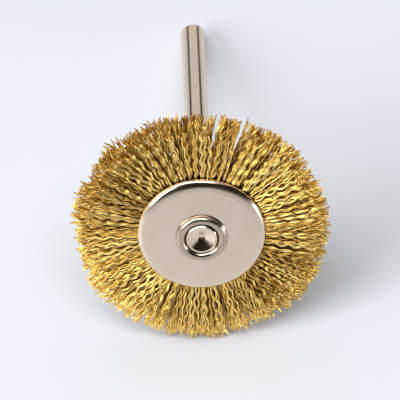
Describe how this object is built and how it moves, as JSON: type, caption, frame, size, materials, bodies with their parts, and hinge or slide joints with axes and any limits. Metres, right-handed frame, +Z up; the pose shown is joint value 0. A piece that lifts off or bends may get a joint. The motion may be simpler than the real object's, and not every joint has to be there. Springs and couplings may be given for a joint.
{
  "type": "wire wheel brush",
  "caption": "Small brass wire wheel brush held between two domed steel flanges by a rolled hub eyelet, on a plain round steel mandrel for a rotary tool.",
  "frame": {"origin": "the point on the bench under the middle of the brush as it lies at rest, on the wheel's rear edge and the shank's tail", "axes": "+Z up from the bench; -Y the way the wheel's face looks, leaned back 17.2 degrees; +Y towards the shank's tail; +X to the right of someone facing the wheel"},
  "size_m": [0.0238, 0.0394, 0.0233],
  "materials": {
    "nickel_plated_shank": "satin",
    "nickel_plated_hub": "polished",
    "nickel_plated_flange": "satin",
    "steel_ring": "plain drawn wire",
    "brass_wire": "bright drawn wire"
  },
  "bodies": {
    "root": {"mandrel": "nickel_plated_shank", "hub_eyelet": "nickel_plated_hub", "front_flange": "nickel_plated_flange", "rear_flange": "nickel_plated_flange", "core_ring": "steel_ring", "wire_tuft_01": "brass_wire", "wire_tuft_02": "brass_wire", "wire_tuft_03": "brass_wire", "wire_tuft_04": "brass_wire", "wire_tuft_05": "brass_wire", "wire_tuft_06": "brass_wire", "wire_tuft_07": "brass_wire", "wire_tuft_08": "brass_wire", "wire_tuft_09": "brass_wire", "wire_tuft_10": "brass_wire", "wire_tuft_11": "brass_wire", "wire_tuft_12": "brass_wire", "wire_tuft_13": "brass_wire", "wire_tuft_14": "brass_wire", "wire_tuft_15": "brass_wire", "wire_tuft_16": "brass_wire", "wire_tuft_17": "brass_wire", "wire_tuft_18": "brass_wire", "wire_tuft_19": "brass_wire", "wire_tuft_20": "brass_wire", "wire_tuft_21": "brass_wire", "wire_tuft_22": "brass_wire", "wire_tuft_23": "brass_wire", "wire_tuft_24": "brass_wire"}
  },
  "joints": []
}
